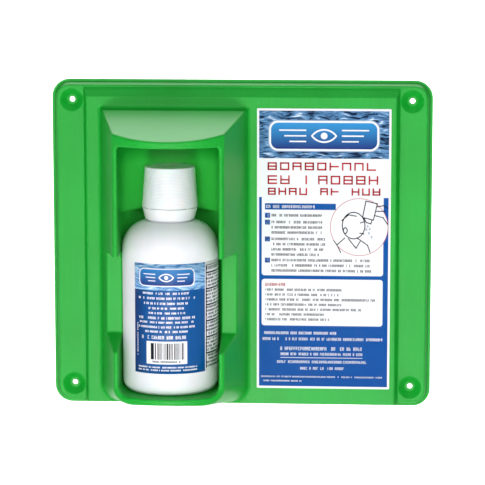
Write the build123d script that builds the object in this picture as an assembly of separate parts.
from build123d import *
import os
from math import radians, sqrt, tan

# Wall-mounted eyewash station: a vacuum-formed board with a moulded cradle, and a squeeze bottle
# with an eyecup closure standing in it.  +Z is up, +Y points into the wall and the front faces -Y.
# The origin is the centre of the four screw holes, on the wall plane.
# "Depth" below is the distance in front of the wall, so a depth d lies at Y = -d.

# --- driving dimensions, board -------------------------------------------------------------
board_width = 300.0
board_height = 260.0
board_corner = 14.0
sheet = 2.5                     # wall of the vacuum-formed sheet
edge_lip = 1.3                  # flat lip left by trimming the sheet
edge_lip_thickness = 1.5
flange_depth = 8.0
flange_draft = 20.0             # degrees
hole_span_x = 268.0
hole_span_z = 228.0
screw_hole = 4.4
dimple_rim = 18.0
dimple_floor = 8.0
plateau_depth = 15.0
plateau_half_width = 124.2      # at the flange face
plateau_side_bevel = 2.3
plateau_top = 124.4
plateau_top_bevel = 6.8
plateau_bottom_draft = 3.5

# --- driving dimensions, moulded cradle ----------------------------------------------------
cradle_x = -52.4                # middle of the cradle
cheek_back = 19.35              # between the well and the outside, at the plateau
cheek_front = 4.45              # the same at the front corners
cradle_corner_depth = 72.0
front_bow = 18.0                # how far the middle of the front stands out past its corners
hood_clearance = 18.15          # room between dust cap and hood
hood_height = 24.0              # from its underside to where the roof meets the plateau
hood_drop = 18.8                # how far the roof falls from the plateau to the front
tray_lip = 4.7
tray_rise = 12.2                # how far the underside climbs from the board's edge to the lip
notch_depth = 42.0
notch_top = -1.9
notch_bottom = -65.2
notch_slope = 17.0              # degrees
recess_back_depth = 19.0
recess_bottom = 31.0
pocket_clearance = 1.6          # between bottle and pocket wall
pocket_back_depth = 5.15        # how near the well comes to the wall
belly_round = 14.0              # lower outer corners of the tray

# --- driving dimensions, bottle ------------------------------------------------------------
bottle_diameter = 74.5
bottle_shift = -0.9             # it stands a little left of the cradle's middle
bottle_floor = -108.5           # height of the tray floor
bottle_wall = 1.0
bottle_foot_radius = 8.0
bottle_body_height = 111.8      # foot to start of shoulder
shoulder_radius = 21.5
neck_radius = 17.2
neck_bore = 15.4
neck_height = 18.6              # shoulder to sealing rim
push_up = 3.0                   # height of the hollow under the foot
push_up_radius = 25.0
bead_height = 6.0               # centre of the locking bead above the shoulder
bead_radius = 18.4
bead_half_height = 1.4
thread_pitch = 4.23
thread_depth = 1.1
thread_width = 2.0
nut_thread_width = 1.6
nut_thread_turns = 0.9
thread_turns = 1.25
thread_bite = 0.3               # how far a ridge is sunk into its wall
thread_start = 11.0             # above the shoulder
fill_headspace = 16.5           # shoulder top down to the solution
fill_gap = 0.05

# --- driving dimensions, closure -----------------------------------------------------------
liner_thickness = 1.0
liner_radius = 17.6
liner_bore = 13.5
collar_thread_gap = 0.2
collar_height = 9.0             # skirt below the deck
deck_thickness = 1.6
cup_floor_radius = 11.5
cup_rim_radius = 17.4
cup_wall = 1.3
cap_gap = 0.3                   # between the collar and the dust cap
brow_radius = 62.0              # curve of the cup's rim
insert_radius = 7.0
insert_flange = 1.4
insert_thickness = 1.2
insert_skirt = 4.0
jet_diameter = 1.5
jet_circle = 4.2
jets = 6
cap_bottom_radius = 21.75
cap_top_radius = 19.45
cap_wall = 1.2
cap_height = 31.4
cap_edge = 1.0
cap_groove = 0.5                # gap between the band and the cap
band_height = 9.0
band_top_radius = 21.45
band_bottom_radius = 19.1
band_wall = 1.25
band_gap = 1.2                  # band above the shoulder
bridge_count = 8
bridge_width = 1.4

# --- driving dimensions, labels ------------------------------------------------------------
sign_width = 105.0
sign_height = 223.0
sign_gap = 6.9                  # between the cradle's root and the sheet
sign_z = -2.6
sign_thickness = 0.3
wrap_bottom = 18.5              # above the bottle's foot
wrap_height = 85.6
wrap_thickness = 0.15
wrap_start = -41.7              # degrees about the bottle, 0 = front
wrap_sweep = 300.0

# --- rounding of the formed sheet ----------------------------------------------------------
cradle_round = 1.8
inside_round = 3.0
board_round = 1.5
root_round = 3.0                # where the cradle rises from the plateau
foot_round = 1.0                # where the plateau rises from the flange

# --- places worked out from the sizes ------------------------------------------------------
bottle_radius = bottle_diameter / 2
bottle_axis_depth = pocket_back_depth + pocket_clearance + bottle_radius
cradle_depth = cradle_corner_depth + front_bow
shoulder_centre = bottle_radius - shoulder_radius
shoulder_top = bottle_body_height + sqrt(shoulder_radius**2 - (neck_radius - shoulder_centre) ** 2)
rim_top = shoulder_top + neck_height
deck_bottom = rim_top + liner_thickness
deck_top = deck_bottom + deck_thickness
band_bottom = shoulder_top + band_gap
cap_bottom = band_bottom + band_height + cap_groove
cap_top = cap_bottom + cap_height
bottle_place = Pos(cradle_x + bottle_shift, -bottle_axis_depth, bottle_floor)
cap_ceiling = cap_top - cap_wall
cradle_base_half = bottle_radius + pocket_clearance + cheek_back
cradle_front_half = bottle_radius + pocket_clearance + cheek_front
sign_x = cradle_x + cradle_base_half + sign_gap + sign_width / 2
hood_underside = bottle_floor + cap_top + hood_clearance
cradle_top = hood_underside + hood_height
touch = 0.01                    # points nearer than this are taken as touching
wall_side = 5.0                 # how far tools for the open back reach behind the wall


def flange_block(shrink):
    """Rounded rectangle with drafted sides, up to the flange face."""
    inset = edge_lip + shrink - (wall_side * tan(radians(flange_draft)) if shrink else 0)
    outline = RectangleRounded(board_width - 2 * inset, board_height - 2 * inset, board_corner - inset)
    start = wall_side if shrink else 0
    return Pos(0, start, 0) * extrude(Plane.XZ * outline, flange_depth - shrink + start, taper=flange_draft)


def plateau_block(shrink):
    """Raised middle field: a side view and a plan view crossed, so the bevels mitre."""
    side = Polygon(
        (wall_side, -board_height / 2),
        (-plateau_depth, -board_height / 2 + plateau_bottom_draft),
        (-plateau_depth, plateau_top - plateau_top_bevel),
        (-flange_depth, plateau_top),
        (wall_side, plateau_top),
        align=None,
    )
    plan = Polygon(
        (-plateau_half_width, wall_side),
        (-plateau_half_width, -flange_depth),
        (plateau_side_bevel - plateau_half_width, -plateau_depth),
        (plateau_half_width - plateau_side_bevel, -plateau_depth),
        (plateau_half_width, -flange_depth),
        (plateau_half_width, wall_side),
        align=None,
    )
    block = extrude(Plane.YZ * shrunk(side, shrink), board_width, both=True)
    return block & extrude(shrunk(plan, shrink), board_height, both=True)


def shrunk(face, amount):
    """Face moved inwards by an amount, or outwards when it is negative."""
    if amount == 0:
        return face
    return offset(face, amount=-amount, kind=Kind.INTERSECTION)


def cradle_block(shrink):
    """Hood, cheeks and tray before anything is hollowed out of them."""
    start = plateau_depth - sheet * 3
    lean = (cradle_base_half - cradle_front_half) / (cradle_corner_depth - plateau_depth)
    back_half = cradle_base_half + lean * (plateau_depth - start)
    with BuildSketch() as plan:
        with BuildLine():
            front = ThreePointArc(
                (cradle_x - cradle_front_half, -cradle_corner_depth),
                (cradle_x, -cradle_depth),
                (cradle_x + cradle_front_half, -cradle_corner_depth),
            )
            Polyline(front @ 1, (cradle_x + back_half, -start), (cradle_x - back_half, -start), front @ 0)
        make_face()
    span = cradle_depth - plateau_depth
    roof = hood_drop / span
    belly = tray_rise / span
    side = Polygon(
        (-start, cradle_top + roof * (plateau_depth - start)),
        (-cradle_depth, cradle_top - hood_drop),
        (-cradle_depth, bottle_floor - tray_lip),
        (-start, bottle_floor - tray_lip - tray_rise - belly * (plateau_depth - start)),
        align=None,
    )
    block = extrude(Plane.YZ * shrunk(side, shrink), board_width, both=True)
    block = block & extrude(shrunk(plan.sketch, shrink), board_height, both=True)
    underside = block.faces().sort_by(Axis.Z)[0]
    reach = cradle_corner_depth / 2
    corners = [edge for edge in underside.edges() if abs((edge @ 1).Y - (edge @ 0).Y) > reach]
    return fillet(corners, belly_round - shrink)


def pocket_tool(grow):
    """Space for the bottle: a half-round well with parallel sides, open to the front."""
    radius = bottle_radius + pocket_clearance + grow
    well = Pos(cradle_x, -bottle_axis_depth) * Circle(radius)
    way_out = Pos(cradle_x, -bottle_axis_depth - cradle_depth / 2) * Rectangle(2 * radius, cradle_depth)
    bottom = bottle_floor - grow
    top = recess_bottom + grow
    tool = Pos(0, 0, bottom) * extrude(well + way_out, top - bottom)
    return fillet(tool.edges().group_by(Axis.Z)[0], bottle_foot_radius + grow)


def recess_tool(grow):
    """Half-round room for the closure, as wide as the well but not as deep, up to the hood."""
    radius = bottle_radius + pocket_clearance + grow
    middle = recess_back_depth + bottle_radius + pocket_clearance
    back = Pos(cradle_x, -middle) * Circle(radius)
    way_out = Pos(cradle_x, -middle - cradle_depth / 2) * Rectangle(2 * radius, cradle_depth)
    bottom = recess_bottom - grow
    top = hood_underside + grow
    return Pos(0, 0, bottom) * extrude(back + way_out, top - bottom)


def notch_tool(grow):
    """Finger room cut across both cheeks."""
    reach = cradle_depth + wall_side - notch_depth
    fall = reach * tan(radians(notch_slope))
    side = Polygon(
        (-notch_depth, notch_top),
        (-notch_depth - reach, notch_top),
        (-notch_depth - reach, notch_bottom - fall),
        (-notch_depth, notch_bottom),
        align=None,
    )
    return extrude(Plane.YZ * shrunk(side, -grow), board_width, both=True)


def screw_places():
    """Centres of the four screw holes on the wall plane."""
    return GridLocations(hole_span_x, hole_span_z, 2, 2)


def dimple_tool(grow):
    """Four cones sunk to the wall round the screw holes."""
    depth = flange_depth - sheet
    spread = (dimple_rim - dimple_floor) / 2 / depth
    cones = []
    for place in screw_places():
        base_radius = dimple_floor / 2 + grow
        cone = Cone(base_radius, base_radius + spread * depth, depth)
        cones.append(Plane.XZ * place * Pos(0, 0, sheet - grow + depth / 2) * cone)
    return cones


def board_skin(shrink):
    """Everything the mould forms, before the wall is given its thickness."""
    skin = flange_block(shrink) + plateau_block(shrink) + cradle_block(shrink)
    return skin - pocket_tool(shrink) - recess_tool(shrink) - notch_tool(shrink) - dimple_tool(shrink)


def edges_at(skin, depth):
    """Edges of the skin whose middle lies at a depth in front of the wall."""
    return [edge for edge in skin.edges() if abs((edge @ 0.5).Y + depth) < touch]


def is_seam(skin, edge):
    """True where two faces run smoothly into one another."""
    middle = edge @ 0.5
    sides = [face.normal_at(middle) for face in skin.faces() if face.distance_to(middle) < touch / 10]
    return len(sides) == 2 and sides[0].dot(sides[1]) > 0.999


def cradle_edges(skin):
    """Edges of the cradle's outside and of its openings, in front of the plateau."""
    walls = (cradle_block(0) - notch_tool(0)).faces()
    found = []
    for edge in skin.edges():
        middle = edge @ 0.5
        if middle.Y < -plateau_depth - touch and min(wall.distance_to(middle) for wall in walls) < touch:
            if not is_seam(skin, edge):
                found.append(edge)
    return found


def field_edges(skin):
    """Top and side borders of the plateau's raised face."""
    half = plateau_half_width - plateau_side_bevel
    top = plateau_top - plateau_top_bevel
    found = []
    for edge in edges_at(skin, plateau_depth):
        middle = edge @ 0.5
        if abs(abs(middle.X) - half) < touch or abs(middle.Z - top) < touch:
            found.append(edge)
    return found


def rim_edges(skin):
    """Outer border of the flange's face, except the dimples."""
    found = []
    for edge in edges_at(skin, flange_depth):
        middle = edge @ 0.5
        past_plateau = abs(middle.X) > plateau_half_width + touch or middle.Z > plateau_top + touch
        if past_plateau and not is_dimple(edge):
            found.append(edge)
    return found


def root_edges(skin):
    """Long edges along which the cradle rises from the plateau."""
    found = []
    for edge in edges_at(skin, plateau_depth):
        middle = edge @ 0.5
        inside_field = abs(middle.X) < plateau_half_width - plateau_side_bevel - cradle_round
        if inside_field and edge.length > cradle_base_half and middle.Z > bottle_floor - plateau_depth:
            if middle.Z < cradle_top + touch:
                found.append(edge)
    return found


def foot_edges(skin):
    """Long edges along which the plateau rises from the flange."""
    found = []
    for edge in edges_at(skin, flange_depth):
        if abs(abs((edge @ 0.5).X) - plateau_half_width) < touch and edge.length > board_height / 2:
            found.append(edge)
    return found


def softened(skin):
    """The rounding that hot sheet takes over and into a mould."""
    ceiling = [edge for edge in skin.edges() if abs((edge @ 0.5).Z - hood_underside) < touch]
    skin = skin.fillet(inside_round, [edge for edge in ceiling if (edge @ 0.5).Y > -cradle_corner_depth])
    skin = skin.fillet(cradle_round, cradle_edges(skin))
    skin = skin.fillet(board_round, field_edges(skin))
    skin = skin.fillet(board_round, rim_edges(skin))
    skin = skin.fillet(root_round, root_edges(skin))
    skin = skin.fillet(foot_round, foot_edges(skin))
    return skin.fillet(board_round, [edge for edge in edges_at(skin, flange_depth) if is_dimple(edge)])


def is_dimple(edge):
    """True for the wide rim of a screw dimple."""
    return edge.geom_type == GeomType.CIRCLE and abs(edge.radius - dimple_rim / 2) < touch


def station_panel():
    lip = extrude(Plane.XZ * RectangleRounded(board_width, board_height, board_corner), edge_lip_thickness)
    front_half = Pos(0, -board_width / 2, 0) * Box(2 * board_width, board_width, 2 * board_height)
    board = (softened(board_skin(0)) + lip) & front_half
    board = board - board_skin(sheet)
    for place in screw_places():
        board -= Plane.XZ * place * Cylinder(screw_hole / 2, 4 * sheet)
    return board


def instruction_label():
    """Printed sheet stuck to the raised field beside the cradle."""
    paper = Plane.XZ.offset(plateau_depth) * Pos(sign_x, sign_z) * Rectangle(sign_width, sign_height)
    return extrude(paper, sign_thickness)


def turned(points_or_lines):
    """Solid of revolution about the bottle's axis from a closed half outline."""
    return revolve(points_or_lines, Axis.Z)


def vessel(inset, neck, top):
    """Body of revolution of the bottle, moved inwards by an inset, with a straight neck."""
    radius = bottle_radius - inset
    neck_foot = bottle_body_height + sqrt((shoulder_radius - inset) ** 2 - (neck - shoulder_centre) ** 2)
    with BuildSketch(Plane.XZ) as half:
        with BuildLine():
            dome = TangentArc((0, push_up + inset), (push_up_radius, inset), tangent=(1, 0))
            foot = Line(dome @ 1, (bottle_radius - bottle_foot_radius, inset))
            heel = TangentArc(foot @ 1, (radius, bottle_foot_radius), tangent=(1, 0))
            side = Line(heel @ 1, (radius, bottle_body_height))
            shoulder = TangentArc(side @ 1, (neck, neck_foot), tangent=(0, 1))
            Polyline(shoulder @ 1, (neck, top), (0, top), dome @ 0)
        make_face()
    return turned(half.sketch)


def ring(*outline):
    """Ring of revolution from its section, given as (radius, height) corners."""
    return turned(Plane.XZ * Polygon(*outline, align=None))


def helical_ridge(root, crest, width, turns, start, facing):
    """Thread ridge of trapezoid section, rooted in a wall of the given radius."""
    path = Helix(thread_pitch, thread_pitch * turns, root)
    sunk = root - facing * thread_bite
    section = Polygon(
        (sunk - root, -width / 2),
        (crest - root, -width / 4),
        (crest - root, width / 4),
        (sunk - root, width / 2),
        align=None,
    )
    frame = Plane(origin=path @ 0, x_dir=(1, 0, 0), z_dir=path % 0)
    return Pos(0, 0, start) * sweep(frame * section, path=path, is_frenet=True)


def bottle():
    shell = vessel(0, neck_radius, rim_top) - vessel(bottle_wall, neck_bore, rim_top + bottle_wall)
    middle = shoulder_top + bead_height
    bead = ring(
        (neck_radius - thread_bite, middle - bead_half_height),
        (bead_radius, middle - bead_half_height / 2),
        (bead_radius, middle + bead_half_height / 4),
        (neck_radius - thread_bite, middle + bead_half_height),
    )
    crest = neck_radius + thread_depth
    thread = helical_ridge(neck_radius, crest, thread_width, thread_turns, shoulder_top + thread_start, 1)
    return bottle_place * (shell + bead + thread)


def eyewash_solution():
    """Liquid filling the bottle up to just below the neck."""
    inset = bottle_wall + fill_gap
    level = shoulder_top - fill_headspace
    liquid = vessel(inset, neck_bore - fill_gap, rim_top)
    return bottle_place * split(liquid, Plane.XY.offset(level), keep=Keep.BOTTOM)


def bottle_label():
    """Paper label wrapped round the bottle, leaving a bare strip."""
    skin = Cylinder(bottle_radius + wrap_thickness, wrap_height, arc_size=wrap_sweep)
    skin -= Cylinder(bottle_radius, 2 * wrap_height)
    lift = wrap_bottom + wrap_height / 2
    return bottle_place * Pos(0, 0, lift) * Rot(0, 0, wrap_start - 90) * skin


def cap_radius(height):
    """Outer radius of the tapering dust cap at a height above the bottle's foot."""
    share = (height - cap_bottom) / cap_height
    return cap_bottom_radius + (cap_top_radius - cap_bottom_radius) * share


def tamper_band():
    """Loose band under the closure, with small bridges that tear when it is first opened."""
    top = band_bottom + band_height
    body = ring(
        (band_bottom_radius - band_wall, band_bottom),
        (band_bottom_radius, band_bottom),
        (band_top_radius, top),
        (band_top_radius - band_wall, top),
    )
    reach = band_top_radius - band_wall / 2
    for place in PolarLocations(reach, bridge_count):
        body += Pos(0, 0, top) * place * Box(band_wall / 2, bridge_width, 2 * cap_groove)
    return bottle_place * body


def seal_liner():
    """Soft washer pressed between the bottle's rim and the closure's deck."""
    washer = Cylinder(liner_radius, liner_thickness) - Cylinder(liner_bore, 2 * liner_thickness)
    return bottle_place * Pos(0, 0, rim_top + liner_thickness / 2) * washer


def eyecup_closure():
    """Threaded collar, deck and open eyecup moulded in one."""
    root = neck_radius + thread_depth + collar_thread_gap
    skirt_foot = deck_bottom - collar_height
    collar = ring(
        (root, skirt_foot),
        (cap_radius(skirt_foot) - cap_wall - cap_gap, skirt_foot),
        (cap_radius(deck_top) - cap_wall - cap_gap, deck_top),
        (insert_radius, deck_top),
        (insert_radius, deck_bottom),
        (root, deck_bottom),
    )
    with BuildSketch(Plane.XZ) as half:
        with BuildLine():
            inner = TangentArc(
                (cup_floor_radius, deck_top),
                (cup_rim_radius - cup_wall, cap_ceiling),
                tangent=(1, 2),
            )
            outer = TangentArc(
                (cup_floor_radius + cup_wall, deck_top - deck_thickness / 2),
                (cup_rim_radius, cap_ceiling),
                tangent=(1, 2),
            )
            Line(inner @ 0, outer @ 0)
            Line(inner @ 1, outer @ 1)
        make_face()
    cup = turned(half.sketch)
    brow = Pos(0, 0, cap_ceiling - brow_radius) * Rot(90, 0, 0) * Cylinder(brow_radius, 4 * cup_rim_radius)
    crest = neck_radius + collar_thread_gap
    start = shoulder_top + thread_start + thread_pitch / 2
    thread = helical_ridge(root, crest, nut_thread_width, nut_thread_turns, start, -1)
    return bottle_place * (collar + (cup & brow) + thread)


def flow_insert():
    """Perforated plug in the floor of the eyecup that softens the flow."""
    plate = Cylinder(insert_radius + insert_flange, insert_thickness)
    plate = Pos(0, 0, deck_top + insert_thickness / 2) * plate
    skirt = Pos(0, 0, deck_top - insert_skirt / 2) * Cylinder(insert_radius, insert_skirt)
    hollow = Pos(0, 0, deck_top - insert_skirt) * Cylinder(insert_radius - insert_thickness, 2 * insert_skirt)
    plug = plate + (skirt - hollow)
    for place in PolarLocations(jet_circle, jets):
        plug -= Pos(0, 0, deck_top) * place * Cylinder(jet_diameter / 2, 4 * insert_thickness)
    plug -= Pos(0, 0, deck_top) * Cylinder(jet_diameter / 2, 4 * insert_thickness)
    return bottle_place * plug


def dust_cap():
    """Tapering cover pushed over the eyecup and the collar."""
    outer = ring((0, cap_bottom), (cap_bottom_radius, cap_bottom), (cap_top_radius, cap_top), (0, cap_top))
    outer = fillet(outer.edges().group_by(Axis.Z)[-1], cap_edge)
    inner = ring(
        (0, cap_bottom - cap_wall),
        (cap_radius(cap_bottom - cap_wall) - cap_wall, cap_bottom - cap_wall),
        (cap_radius(cap_ceiling) - cap_wall, cap_ceiling),
        (0, cap_ceiling),
    )
    return bottle_place * (outer - inner)


os.makedirs("parts", exist_ok=True)
pieces = (
    station_panel,
    instruction_label,
    bottle,
    bottle_label,
    eyewash_solution,
    tamper_band,
    seal_liner,
    eyecup_closure,
    flow_insert,
    dust_cap,
)
for piece in pieces:
    export_step(piece(), f"parts/{piece.__name__}.step")
